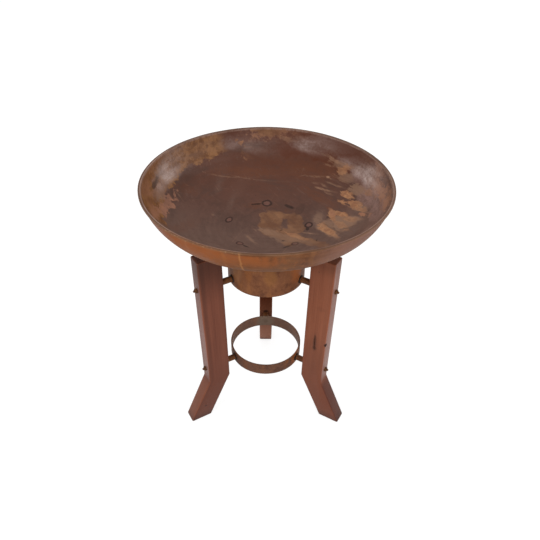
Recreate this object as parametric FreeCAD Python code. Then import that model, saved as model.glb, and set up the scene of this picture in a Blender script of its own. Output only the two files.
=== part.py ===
import FreeCAD, Part
import math
import os

# Fire bowl: a dished steel end with a small proud lip
rim_radius = 340.0
bowl_depth = 160.0
bowl_wall = 5.0
crown_radius = 680.0
knuckle_radius = 155.0
lip_proud = 2.5
lip_height = 7.0
rim_edge_ease = 1.5

# Support drum: a rolled collar, open below, that carries the bowl
drum_radius = 115.5
drum_wall = 4.0
drum_bottom = 510.0
drum_height = 166.5

# Stitch welds between drum and bowl, laid by hand at uneven angles
stitch_angles = (1.0, 58.0, 91.0, 166.0, 232.0, 307.0)
stitch_length = 30.0
stitch_leg = 6.0

# Lower hoop: flat bar rolled on edge
hoop_radius = 115.5
hoop_wall = 5.0
hoop_width = 40.0
hoop_middle = 204.5

# Studs: round bar welded to drum or hoop, turned down to a threaded end
stud_radius = 9.5
thread_radius = 4.0
upper_stud_length = 37.2
lower_stud_length = 32.2
upper_stud_rise = 22.0
stud_tip = 5.0
tip_chamfer = 1.0
stud_weld_leg = 3.0

# Nuts: plain hexagon
nut_across_flats = 13.0
nut_height = 6.5

# Legs: one board each, sawn with an outward kick
leg_thickness = 45.0
leg_top_width = 75.0
leg_kink_width = 72.5
leg_top_gap = 43.0
kink_drop = 46.5
foot_kick = 76.5
foot_width = 69.5
kink_inner_round = 8.0
kink_outer_round = 5.0
leg_edge_round = 4.0
leg_end_ease = 1.5
leg_places = ("back", "front_left", "front_right")
back_leg_angle = 90.0

# Fits
weld_gap = 0.2
bore_clearance = 0.4
thread_clearance = 0.15
seat_bed = 0.4
seat_clearance = 0.3

# Heights and radii that follow from the sizes above
drum_top = drum_bottom + drum_height
crown_centre = drum_top + weld_gap + math.sqrt(crown_radius**2 - drum_radius**2)
rim_height = crown_centre - crown_radius + bowl_depth
upper_stud_height = drum_bottom + upper_stud_rise
upper_seat_radius = drum_radius + upper_stud_length
lower_seat_radius = hoop_radius + lower_stud_length
kink_height = hoop_middle - kink_drop
leg_spacing = 360.0 / len(leg_places)
leg_angles = {place: back_leg_angle + i * leg_spacing for i, place in enumerate(leg_places)}


def point(radius, height):
    return FreeCAD.Vector(radius, 0, height)


def line(start, end):
    return Part.LineSegment(start, end).toShape()


def arc(centre, radius, start, end):
    angles = (start, (start + end) / 2, end)
    points = [centre + point(radius * math.cos(a), radius * math.sin(a)) for a in angles]
    return Part.Arc(*points).toShape()


def face_of(edges):
    return Part.Face(Part.Wire(edges))


def closed_face(points):
    return Part.Face(Part.makePolygon(points + points[:1]))


def spin(face, degrees=360.0):
    return face.revolve(FreeCAD.Vector(0, 0, 0), FreeCAD.Vector(0, 0, 1), degrees)


def turn(shape, degrees):
    turned = shape.copy()
    turned.rotate(FreeCAD.Vector(0, 0, 0), FreeCAD.Vector(0, 0, 1), degrees)
    return turned


def radial_rod(radius, start, end, height):
    return Part.makeCylinder(radius, end - start, point(start, height), FreeCAD.Vector(1, 0, 0))


def upright_rod(radius, bottom, top):
    return Part.makeCylinder(radius, top - bottom, point(0, bottom))


# Height of the bowl's underside, within its crown
def underside(radius):
    return crown_centre - math.sqrt(crown_radius**2 - radius**2)


# Centre of the knuckle arc, which touches the crown inside and ends at the rim
def knuckle_centre():
    crown = point(0, crown_centre)
    rim = point(rim_radius - lip_proud, rim_height)
    reach = (rim - crown).Length
    along = ((crown_radius - knuckle_radius)**2 - knuckle_radius**2 + reach**2) / (2 * reach)
    aside = math.sqrt((crown_radius - knuckle_radius)**2 - along**2)
    towards = (rim - crown) / reach
    across = point(towards.z, -towards.x)
    return crown + towards * along + across * aside


def fire_bowl():
    crown = point(0, crown_centre)
    knuckle = knuckle_centre()
    inner_knuckle = knuckle_radius - bowl_wall
    joint = math.atan2(knuckle.z - crown.z, knuckle.x)
    lip_angle = math.asin((rim_height - lip_height - knuckle.z) / knuckle_radius)
    edge_angle = math.asin((rim_height - rim_edge_ease - knuckle.z) / inner_knuckle)
    outer_crown = arc(crown, crown_radius, -math.pi / 2, joint)
    outer_knuckle = arc(knuckle, knuckle_radius, joint, lip_angle)
    inner_knuckle_arc = arc(knuckle, inner_knuckle, edge_angle, joint)
    inner_crown = arc(crown, crown_radius - bowl_wall, joint, -math.pi / 2)
    neck = outer_knuckle.lastVertex().Point
    inner_edge = inner_knuckle_arc.firstVertex().Point
    corners = [neck, point(rim_radius, rim_height - lip_height / 2),
               point(rim_radius, rim_height - rim_edge_ease),
               point(rim_radius - rim_edge_ease, rim_height),
               point(inner_edge.x + rim_edge_ease, rim_height), inner_edge]
    lip = [line(a, b) for a, b in zip(corners, corners[1:])]
    axis = line(inner_crown.lastVertex().Point, outer_crown.firstVertex().Point)
    return spin(face_of([outer_crown, outer_knuckle] + lip + [inner_knuckle_arc, inner_crown, axis]))


# The drum's top edge is cut to the slope of the bowl's underside
def support_drum():
    inside = drum_radius - drum_wall
    outline = [point(inside, drum_bottom), point(drum_radius, drum_bottom)]
    outline += [point(r, underside(r) - weld_gap) for r in (drum_radius, inside)]
    return spin(closed_face(outline))


# Convex fillet beads in the corner between drum and bowl
def bowl_stitch_welds():
    wall = drum_radius + weld_gap
    corner = point(wall, underside(wall) - weld_gap)
    low = corner - point(0, stitch_leg)
    out = point(wall + stitch_leg, underside(wall + stitch_leg) - weld_gap)
    crest = (low + out) / 2 + point(stitch_leg, -stitch_leg) / 8
    bead_face = face_of([line(corner, low), Part.Arc(low, crest, out).toShape(), line(out, corner)])
    sweep = math.degrees(stitch_length / drum_radius)
    bead = spin(bead_face, sweep)
    return Part.makeCompound([turn(bead, angle - sweep / 2) for angle in stitch_angles])


def lower_hoop():
    bottom = hoop_middle - hoop_width / 2
    top = hoop_middle + hoop_width / 2
    inside = hoop_radius - hoop_wall
    return spin(closed_face([point(inside, bottom), point(hoop_radius, bottom),
                             point(hoop_radius, top), point(inside, top)]))


# Inner face of a leg: a straight line through the shoulders of its two studs
def leg_inner_radius(height):
    lean = (upper_seat_radius - lower_seat_radius) / (upper_stud_height - hoop_middle)
    return lower_seat_radius + lean * (height - hoop_middle)


def leg_top_height():
    return underside(upper_seat_radius) - leg_top_gap


def leg_outer_radius(height):
    share = (height - kink_height) / (leg_top_height() - kink_height)
    return leg_inner_radius(height) + leg_kink_width + share * (leg_top_width - leg_kink_width)


def nut_corner_radius():
    return nut_across_flats / 2 / math.cos(math.radians(30))


def leg_blank():
    top = leg_top_height()
    foot_inner = leg_inner_radius(kink_height) + foot_kick
    inner_kink = point(leg_inner_radius(kink_height), kink_height)
    outer_kink = point(leg_outer_radius(kink_height), kink_height)
    outline = [point(leg_inner_radius(top), top), point(leg_outer_radius(top), top), outer_kink,
               point(foot_inner + foot_width, 0), point(foot_inner, 0), inner_kink]
    board = closed_face(outline).extrude(FreeCAD.Vector(0, leg_thickness, 0))
    board.translate(FreeCAD.Vector(0, -leg_thickness / 2, 0))
    for kink, radius in ((inner_kink, kink_inner_round), (outer_kink, kink_outer_round)):
        corner = [edge for edge in board.Edges if edge.CenterOfMass.isEqual(kink, 1e-3)]
        board = board.makeFillet(radius, corner)
    return board


def is_long_edge(edge):
    heights = [vertex.Z for vertex in edge.Vertexes]
    sides = [abs(vertex.Y) for vertex in edge.Vertexes]
    return min(sides) > leg_thickness / 2 - 1e-3 and max(heights) - min(heights) > 1e-3


def leg():
    board = leg_blank()
    board = board.makeFillet(leg_edge_round, [edge for edge in board.Edges if is_long_edge(edge)])
    top = leg_top_height()
    ends = [edge for edge in board.Edges if min(vertex.Z for vertex in edge.Vertexes) > top - 1e-3]
    board = board.makeChamfer(leg_end_ease, ends)
    for height in (upper_stud_height, hoop_middle):
        inner = leg_inner_radius(height)
        outer = leg_outer_radius(height)
        reach = leg_top_width
        board = board.cut(radial_rod(thread_radius + bore_clearance, inner - reach, outer + reach, height))
        board = board.cut(radial_rod(stud_radius + seat_clearance, inner - reach, inner + seat_bed, height))
        nut_seat = nut_corner_radius() + seat_clearance
        board = board.cut(radial_rod(nut_seat, outer - seat_bed, outer + reach, height))
    return board


# A stud's foot is coped to the wall it is welded to, and its shoulder seats in the leg
def stud(wall_radius, height):
    shoulder = leg_inner_radius(height) + seat_bed
    end = leg_outer_radius(height) - seat_bed + nut_height + stud_tip
    shank = radial_rod(stud_radius, wall_radius - stud_radius, shoulder, height)
    thread = radial_rod(thread_radius, shoulder, end, height)
    tip = [edge for edge in thread.Edges if edge.isClosed() and edge.CenterOfMass.x > end - 1e-3]
    bar = shank.fuse(thread.makeChamfer(tip_chamfer, tip)).removeSplitter()
    return bar.cut(upright_rod(wall_radius + weld_gap, height - 2 * stud_radius, height + 2 * stud_radius))


def nut(height):
    seat = leg_outer_radius(height) - seat_bed
    corner = nut_corner_radius()
    corners = [FreeCAD.Vector(seat, corner * math.sin(math.radians(60 * i)),
                              height + corner * math.cos(math.radians(60 * i))) for i in range(6)]
    hexagon = closed_face(corners).extrude(FreeCAD.Vector(nut_height, 0, 0))
    return hexagon.cut(radial_rod(thread_radius + thread_clearance, seat - 1, seat + 2 * nut_height, height))


# Fillet weld round the foot of a stud, following the curve of the wall
def stud_weld(wall_radius, height):
    foot = stud_radius + stud_weld_leg
    base = radial_rod(foot, wall_radius - stud_weld_leg, wall_radius + weld_gap, height)
    cone = Part.makeCone(foot, stud_radius, stud_weld_leg, point(wall_radius + weld_gap, height),
                         FreeCAD.Vector(1, 0, 0))
    collar = base.fuse(cone).removeSplitter()
    collar = collar.cut(radial_rod(stud_radius + weld_gap, 0, wall_radius + 2 * foot, height))
    return collar.cut(upright_rod(wall_radius + weld_gap, height - 2 * foot, height + 2 * foot))


nodes = {
    "fire_bowl": fire_bowl(),
    "support_drum": support_drum(),
    "bowl_stitch_welds": bowl_stitch_welds(),
    "lower_hoop": lower_hoop(),
}
levels = {"upper": (drum_radius, upper_stud_height), "lower": (hoop_radius, hoop_middle)}
for place, angle in leg_angles.items():
    nodes["leg_" + place] = turn(leg(), angle)
    for level, (wall_radius, height) in levels.items():
        name = level + "_" + place
        nodes["stud_" + name] = turn(stud(wall_radius, height), angle)
        nodes["nut_" + name] = turn(nut(height), angle)
for level, (wall_radius, height) in levels.items():
    weld = stud_weld(wall_radius, height)
    nodes["stud_welds_" + level] = Part.makeCompound([turn(weld, angle) for angle in leg_angles.values()])

os.makedirs("parts", exist_ok=True)
for name, shape in nodes.items():
    shape.exportStep("parts/" + name + ".step")
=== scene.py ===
import bpy
import math
from mathutils import Euler, Matrix, Vector


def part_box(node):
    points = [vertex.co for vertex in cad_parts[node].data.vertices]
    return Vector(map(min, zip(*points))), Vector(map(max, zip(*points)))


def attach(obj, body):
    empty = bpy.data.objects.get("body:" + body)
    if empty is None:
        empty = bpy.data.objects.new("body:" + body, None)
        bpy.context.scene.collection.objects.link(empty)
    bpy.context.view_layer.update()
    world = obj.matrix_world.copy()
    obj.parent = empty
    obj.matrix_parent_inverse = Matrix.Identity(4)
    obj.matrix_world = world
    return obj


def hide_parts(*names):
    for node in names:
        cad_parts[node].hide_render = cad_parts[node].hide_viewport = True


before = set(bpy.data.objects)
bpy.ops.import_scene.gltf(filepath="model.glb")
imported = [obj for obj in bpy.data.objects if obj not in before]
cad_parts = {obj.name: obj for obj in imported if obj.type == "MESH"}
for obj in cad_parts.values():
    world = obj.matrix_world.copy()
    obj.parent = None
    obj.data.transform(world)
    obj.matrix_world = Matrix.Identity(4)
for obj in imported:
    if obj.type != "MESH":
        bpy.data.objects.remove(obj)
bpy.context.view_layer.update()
bpy.context.scene.view_settings.view_transform = "Standard"
legAngles = {"back": 90, "front_left": 210, "front_right": 330}  # degrees round the bowl's axis
levels = ("upper", "lower")
mm = 0.001  # metres
seedSize = 0.001  # side of the small plane that an outline grows from
mergeReach = 1e-5  # points nearer than this are one
sameReach = 1e-4  # places nearer than this count as the same
print("frame loaded with", len(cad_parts), "nodes")


# selection and edit mode

def setMode(mode):
    bpy.ops.object.mode_set(mode=mode)


def deselectAll():
    if bpy.context.mode != "OBJECT":
        setMode("OBJECT")
    bpy.ops.object.select_all(action="DESELECT")


def activate(piece):
    deselectAll()
    piece.select_set(True)
    bpy.context.view_layer.objects.active = piece


def selectParts(piece, mode, wanted):  # selects vertices, edges or faces by a test on the element
    activate(piece)
    setMode("EDIT")
    bpy.ops.mesh.select_mode(type=mode)
    bpy.ops.mesh.select_all(action="DESELECT")
    setMode("OBJECT")
    mesh = piece.data
    elements = {"VERT": mesh.vertices, "EDGE": mesh.edges, "FACE": mesh.polygons}[mode]
    for element in elements:
        element.select = wanted(element)
    setMode("EDIT")


def edgeEnds(piece, edge):
    return [piece.data.vertices[i].co for i in edge.vertices]


def mergePoints():
    bpy.ops.mesh.select_all(action="SELECT")
    bpy.ops.mesh.remove_doubles(threshold=mergeReach)


def closeEdit():  # turns all faces outwards and leaves edit mode
    bpy.ops.mesh.select_all(action="SELECT")
    bpy.ops.mesh.normals_make_consistent(inside=False)
    setMode("OBJECT")


# shapes from outlines

def arcPoints(centre, radius, start, end, count):
    angles = [start + (end - start) * i / count for i in range(count + 1)]
    return [(centre[0] + radius * math.cos(a), centre[1] + radius * math.sin(a)) for a in angles]


def traceOutline(name, points):  # one vertex, extruded from point to point
    deselectAll()
    bpy.ops.mesh.primitive_plane_add(size=seedSize)
    piece = bpy.context.object
    piece.name = name
    setMode("EDIT")
    bpy.ops.mesh.select_mode(type="VERT")
    bpy.ops.mesh.select_all(action="SELECT")
    bpy.ops.mesh.merge(type="CENTER")
    bpy.ops.transform.translate(value=points[0])
    for start, end in zip(points, points[1:]):
        step = Vector(end) - Vector(start)
        bpy.ops.mesh.extrude_region_move(TRANSFORM_OT_translate={"value": step})
    mergePoints()
    return piece


def lathe(name, outline, steps, sweep=2 * math.pi):  # spins (radius, height) about the upright axis
    piece = traceOutline(name, [(r, 0, z) for r, z in outline])
    bpy.ops.mesh.spin(steps=steps, angle=sweep, center=(0, 0, 0), axis=(0, 0, 1))
    mergePoints()
    if sweep < 2 * math.pi:
        bpy.ops.mesh.fill_holes(sides=0)
    closeEdit()
    return piece


def useModifier(piece, kind, **values):
    activate(piece)
    bpy.ops.object.modifier_add(type=kind)
    modifier = piece.modifiers[-1]
    for key, value in values.items():
        setattr(modifier, key, value)
    bpy.ops.object.modifier_apply(modifier=modifier.name)


def cutAway(piece, cutter, operation="DIFFERENCE"):
    useModifier(piece, "BOOLEAN", operation=operation, object=cutter, solver="EXACT")
    bpy.data.objects.remove(cutter)


def unevenSurface(piece, name, size, amount, direction):  # slow hand-made waviness, in metres
    clouds = bpy.data.textures.new(name, "CLOUDS")
    clouds.noise_scale = size
    useModifier(piece, "DISPLACE", texture=clouds, texture_coords="LOCAL",
                direction=direction, strength=amount, mid_level=0.5)


def placed(piece, degrees, height=0.0, lying=False):  # lying pieces are made along +Z, to point outwards
    piece.rotation_euler = (0, math.pi / 2 if lying else 0, math.radians(degrees))
    piece.location = (0, 0, height)
    activate(piece)
    bpy.ops.object.transform_apply()
    return piece


def duplicate(piece, name):
    activate(piece)
    bpy.ops.object.duplicate()
    copy = bpy.context.object
    copy.name = name
    return copy


def joined(pieces, name):
    activate(pieces[0])
    for piece in pieces:
        piece.select_set(True)
    bpy.ops.object.join()
    pieces[0].name = name
    return pieces[0]


def finishPiece(piece, nodes, materials, smoothAngle=35):
    activate(piece)
    bpy.ops.object.shade_smooth_by_angle(angle=math.radians(smoothAngle))
    if not piece.data.materials:
        for material in materials:
            piece.data.materials.append(material)
    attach(piece, "root")
    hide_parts(*nodes)


# shader nodes

def paint(red, green, blue):  # a colour as seen on screen, made linear
    values = [v / 255 for v in (red, green, blue)]
    return tuple(v / 12.92 if v <= 0.04045 else ((v + 0.055) / 1.055)**2.4 for v in values) + (1.0,)


build = {}  # what the functions below work on: material, tones, node tree and the colour so far


def feed(socket, value):
    if isinstance(value, bpy.types.NodeSocket):
        build["tree"].links.new(value, socket)
    elif socket.type == "RGBA" and len(value) == 3:
        socket.default_value = paint(*value)
    else:
        socket.default_value = value


def put(kind, sockets, **values):
    node = build["tree"].nodes.new(kind)
    for key, value in values.items():
        setattr(node, key, value)
    for key, value in sockets.items():
        feed(node.inputs[key], value)
    return node


def calc(operation, *values):
    return put("ShaderNodeMath", dict(enumerate(values)), operation=operation).outputs[0]


def chained(operation, values):
    result = values[0]
    for value in values[1:]:
        result = calc(operation, result, value)
    return result


def times(*values):
    return chained("MULTIPLY", values)


def plus(*values):
    return chained("ADD", values)


def minus(a, b):
    return calc("SUBTRACT", a, b)


def strongest(*masks):
    return chained("MAXIMUM", masks)


def swing(value, amount):  # a noise as a swing to both sides of nothing
    return times(minus(value, 0.5), amount)


def vectorCalc(operation, *vectors):
    node = put("ShaderNodeVectorMath", dict(enumerate(vectors)), operation=operation)
    return node.outputs["Value" if operation in ("DOT_PRODUCT", "DISTANCE", "LENGTH") else "Vector"]


def axesOf(vector):
    return put("ShaderNodeSeparateXYZ", {0: vector}).outputs


def vectorFrom(**axes):
    return put("ShaderNodeCombineXYZ", axes).outputs[0]


def turnedRound(vector, angle):  # about the upright axis
    sockets = {"Vector": vector, "Angle": angle}
    return put("ShaderNodeVectorRotate", sockets, rotation_type="Z_AXIS").outputs[0]


def heading(degrees):  # level direction, counted round the bowl's axis
    return Vector((math.cos(math.radians(degrees)), math.sin(math.radians(degrees)), 0))


def spread(value, low, high, toLow=0.0, toHigh=1.0):  # smooth step from low to high
    sockets = {"Value": value, "From Min": low, "From Max": high, "To Min": toLow, "To Max": toHigh}
    return put("ShaderNodeMapRange", sockets, interpolation_type="SMOOTHSTEP").outputs[0]


def mixed(amount, a, b, mode="MIX"):
    node = put("ShaderNodeMix", {0: amount, 6: a, 7: b}, data_type="RGBA", blend_type=mode)
    return node.outputs[2]


def lay(tone, *masks):  # a tone over the colour so far, where all the masks let it show
    build["color"] = mixed(times(*masks), build["color"], build["tones"].get(tone, tone))


def noise(vector, scale, detail, roughness):
    sockets = {"Vector": vector, "Scale": scale, "Detail": detail, "Roughness": roughness}
    return put("ShaderNodeTexNoise", sockets).outputs["Fac"]


def stretched(vector, scale):
    return put("ShaderNodeMapping", {"Vector": vector, "Scale": scale}).outputs[0]


def alongLines(vector, degrees, along):  # space in which a pattern streaks in one plan direction
    sockets = {"Vector": vector, "Rotation": (0, 0, math.radians(degrees - 90)), "Scale": (1, 1 / along, 1)}
    return put("ShaderNodeMapping", sockets, vector_type="TEXTURE").outputs[0]


socketKinds = {  # of the sockets that aren't plain numbers
    "Vector": "Vector", "Place": "Vector", "Along": "Vector", "Across": "Vector",
    "Color": "Color", "Dark": "Color", "Middle": "Color", "Light": "Color",
}


def newGroup(name, inputs, outputs):
    group = bpy.data.node_groups.new(name, "ShaderNodeTree")
    for side, labels in (("INPUT", inputs), ("OUTPUT", outputs)):
        for label in labels:
            kind = "NodeSocket" + socketKinds.get(label, "Float")
            group.interface.new_socket(name=label, in_out=side, socket_type=kind)
    build["tree"] = group
    return group, put("NodeGroupInput", {}).outputs, put("NodeGroupOutput", {}).inputs


def useGroup(group, **sockets):
    return put("ShaderNodeGroup", sockets, node_tree=group).outputs


def newMaterial(name, tones):  # gives the place on the object that the patterns follow
    build["tones"] = tones
    build["material"] = bpy.data.materials.new(name)
    build["material"].use_nodes = True
    build["tree"] = build["material"].node_tree
    return put("ShaderNodeTexCoord", {}).outputs["Object"]


def dress(roughness, height, depth, specular):  # joins the looks to the shader of the material
    shader = build["tree"].nodes["Principled BSDF"].inputs
    bump = put("ShaderNodeBump", {"Height": height, "Strength": 1.0, "Distance": depth})
    feed(shader["Base Color"], build["color"])
    feed(shader["Roughness"], roughness)
    feed(shader["Specular IOR Level"], specular)
    feed(shader["Normal"], bump.outputs[0])
    return build["material"]


# shared effects

def makeRustSkin():  # mottled rust in three tones
    group, given, out = newGroup("rustSkin", ("Vector", "Scale", "Dark", "Middle", "Light"),
                                 ("Color", "Rough", "Height"))
    cloud = noise(given["Vector"], given["Scale"], 6, 0.6)
    blotch = noise(given["Vector"], times(given["Scale"], 4.3), 5, 0.6)
    grit = noise(given["Vector"], times(given["Scale"], 26), 3, 0.6)
    tone = plus(times(cloud, 0.6), times(blotch, 0.4))
    color = mixed(spread(tone, 0.36, 0.52), given["Dark"], given["Middle"])
    color = mixed(spread(tone, 0.5, 0.68), color, given["Light"])
    shade = spread(grit, 0.3, 0.7, 0.86, 1.1)
    shadeColor = put("ShaderNodeCombineColor", {0: shade, 1: shade, 2: shade}).outputs[0]
    feed(out["Color"], mixed(1.0, color, shadeColor, "MULTIPLY"))
    feed(out["Rough"], spread(tone, 0.3, 0.7, 0.46, 0.66))
    feed(out["Height"], plus(times(grit, 0.35), blotch))
    return group


def makeStain():  # one ragged oval patch laid in plan, with a band along its edge
    group, given, out = newGroup("stain", ("Vector", "Edge", "Place", "Along", "Across", "Soft"),
                                 ("Mask", "Ring"))
    offset = vectorCalc("SUBTRACT", given["Vector"], given["Place"])
    along = vectorCalc("DOT_PRODUCT", offset, given["Along"])
    across = vectorCalc("DOT_PRODUCT", offset, given["Across"])
    reach = calc("SQRT", plus(times(along, along), times(across, across)))
    narrow = vectorCalc("LENGTH", given["Across"])
    ragged = plus(reach, times(given["Edge"], narrow))
    trail = strongest(along, 0.0)  # crisp at its head, fading behind
    soft = times(given["Soft"], narrow, plus(1, times(trail, 1.5)))
    mask = spread(ragged, minus(1, soft), plus(1, soft), 1, 0)
    feed(out["Mask"], mask)
    feed(out["Ring"], times(mask, spread(ragged, 0.45, 0.75)))
    return group


def makeHeatMark():  # burnt spot round a weld, with a faded halo
    group, given, out = newGroup("heatMark", ("Vector", "Edge", "Place", "Size"), ("Burnt", "Halo"))
    reach = vectorCalc("DISTANCE", given["Vector"], given["Place"])
    ragged = plus(calc("DIVIDE", reach, given["Size"]), given["Edge"])
    feed(out["Burnt"], spread(ragged, 0.7, 1.2, 1, 0))
    feed(out["Halo"], spread(ragged, 0.9, 2.4, 1, 0))
    return group


def makeScratches():  # sparse hairlines along one plan direction
    group, given, out = newGroup("scratches", ("Vector", "Turn", "Scale"), ("Mask",))
    lines = vectorCalc("MULTIPLY", turnedRound(given["Vector"], given["Turn"]), (1.0, 0.035, 0.2))
    hair = spread(noise(lines, given["Scale"], 2, 0.5), 0.66, 0.78)
    gaps = spread(noise(given["Vector"], 14, 3, 0.5), 0.48, 0.62)
    feed(out["Mask"], times(hair, gaps))
    return group


def rustOf(spot, scale, dark, middle, light):  # the colour starts as mottled rust
    skin = useGroup(rustSkin, Vector=spot, Scale=scale, Dark=dark, Middle=middle, Light=light)
    build["color"] = skin["Color"]
    return skin


rustSkin = makeRustSkin()
stain = makeStain()
heatMark = makeHeatMark()
scratches = makeScratches()
print("shared effects ready")


# fire bowl

bowl = {"crownRadius": 0.680, "knuckleRadius": 0.155, "wall": 0.005, "lipProud": 0.0025,
        "lipHeight": 0.007, "lipTurn": -0.6, "edgeRound": 0.0015, "steps": 224, "crownSteps": (22, 24),
        "knuckleSteps": (24, 26), "lipSteps": 3, "edgeSteps": 4, "waveSize": 0.16, "waveDepth": 0.0012,
        "smooth": 40}
bowlLow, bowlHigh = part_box("fire_bowl")
rimRadius = bowlHigh.x
rimHeight = bowlHigh.z
crownHeight = bowlLow.z + bowl["crownRadius"]


def knuckleCentre():  # the knuckle touches the crown and ends under the lip
    crown = Vector((0, crownHeight))
    rim = Vector((rimRadius - bowl["lipProud"], rimHeight))
    reach = (rim - crown).length
    gap = bowl["crownRadius"] - bowl["knuckleRadius"]
    along = (gap**2 - bowl["knuckleRadius"]**2 + reach**2) / (2 * reach)
    aside = math.sqrt(gap**2 - along**2)
    towards = (rim - crown) / reach
    return crown + towards * along + Vector((towards.y, -towards.x)) * aside


def bowlOutline():
    crown = (0, crownHeight)
    knuckle = knuckleCentre()
    joint = math.atan2(knuckle.y - crownHeight, knuckle.x)
    bottom, level, top = -math.pi / 2, 0, math.pi / 2
    outerCrown, innerCrown = bowl["crownSteps"]
    outerKnuckle, innerKnuckle = bowl["knuckleSteps"]
    inner = bowl["knuckleRadius"] - bowl["wall"]
    edge = bowl["edgeRound"]
    lipAngle = math.asin((rimHeight - bowl["lipHeight"] - knuckle.y) / bowl["knuckleRadius"])
    topAngle = math.asin((rimHeight - edge - knuckle.y) / inner)
    inside = arcPoints(knuckle, inner, topAngle, joint, innerKnuckle)
    lipMiddle = (rimRadius - edge, rimHeight - bowl["lipHeight"] / 2)
    points = arcPoints(crown, bowl["crownRadius"], bottom, joint, outerCrown)
    points += arcPoints(knuckle, bowl["knuckleRadius"], joint, lipAngle, outerKnuckle)[1:]
    points += arcPoints(lipMiddle, edge, bowl["lipTurn"], level, bowl["lipSteps"])
    points += arcPoints((rimRadius - edge, rimHeight - edge), edge, level, top, bowl["edgeSteps"])
    points += arcPoints((inside[0][0] + edge, rimHeight - edge), edge, top, math.pi, bowl["edgeSteps"])
    points += inside[1:]
    points += arcPoints(crown, bowl["crownRadius"] - bowl["wall"], joint, bottom, innerCrown)[1:]
    points[0] = (0, points[0][1])
    points[-1] = (0, points[-1][1])
    return points


def isBowlInside(face):
    radius = math.hypot(face.center.x, face.center.y)
    knuckle = knuckleCentre()
    joint = knuckle.x * bowl["crownRadius"] / (bowl["crownRadius"] - bowl["knuckleRadius"])
    if radius < joint:
        depth = bowl["crownRadius"] - math.hypot(radius, crownHeight - face.center.z)
    else:
        depth = bowl["knuckleRadius"] - math.hypot(radius - knuckle.x, knuckle.y - face.center.z)
    return depth > bowl["wall"] / 2 and face.center.z < rimHeight - bowl["edgeRound"]


def innerHeight(radius):  # height of the bowl's floor inside its crown
    return crownHeight - math.sqrt((bowl["crownRadius"] - bowl["wall"])**2 - radius**2)


insideTones = {
    "floor": ((83, 58, 49), (96, 67, 57)), "ochre": ((109, 73, 52), (135, 96, 69)),
    "clay": ((143, 98, 71), (173, 125, 89)), "wall": ((107, 68, 40), (141, 97, 60)),
    "warm": (90, 52, 37), "ash": (111, 86, 75), "tan": (139, 106, 85), "rust": (102, 60, 40),
    # the pale mauve tones on the next line stand for painted sheen on the walls; the pinker one also carries
    # the rust's pink tint
    "bloom": (186, 164, 156), "blush": (137, 105, 95), "band": (87, 44, 26),
    "pink": (156, 108, 85), "glow": (154, 106, 78), "stroke": (156, 118, 93),
    "edge": (156, 128, 116), "bare": (109, 75, 65), "burnt": (30, 18, 12), "pit": (54, 36, 29),
}
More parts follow.
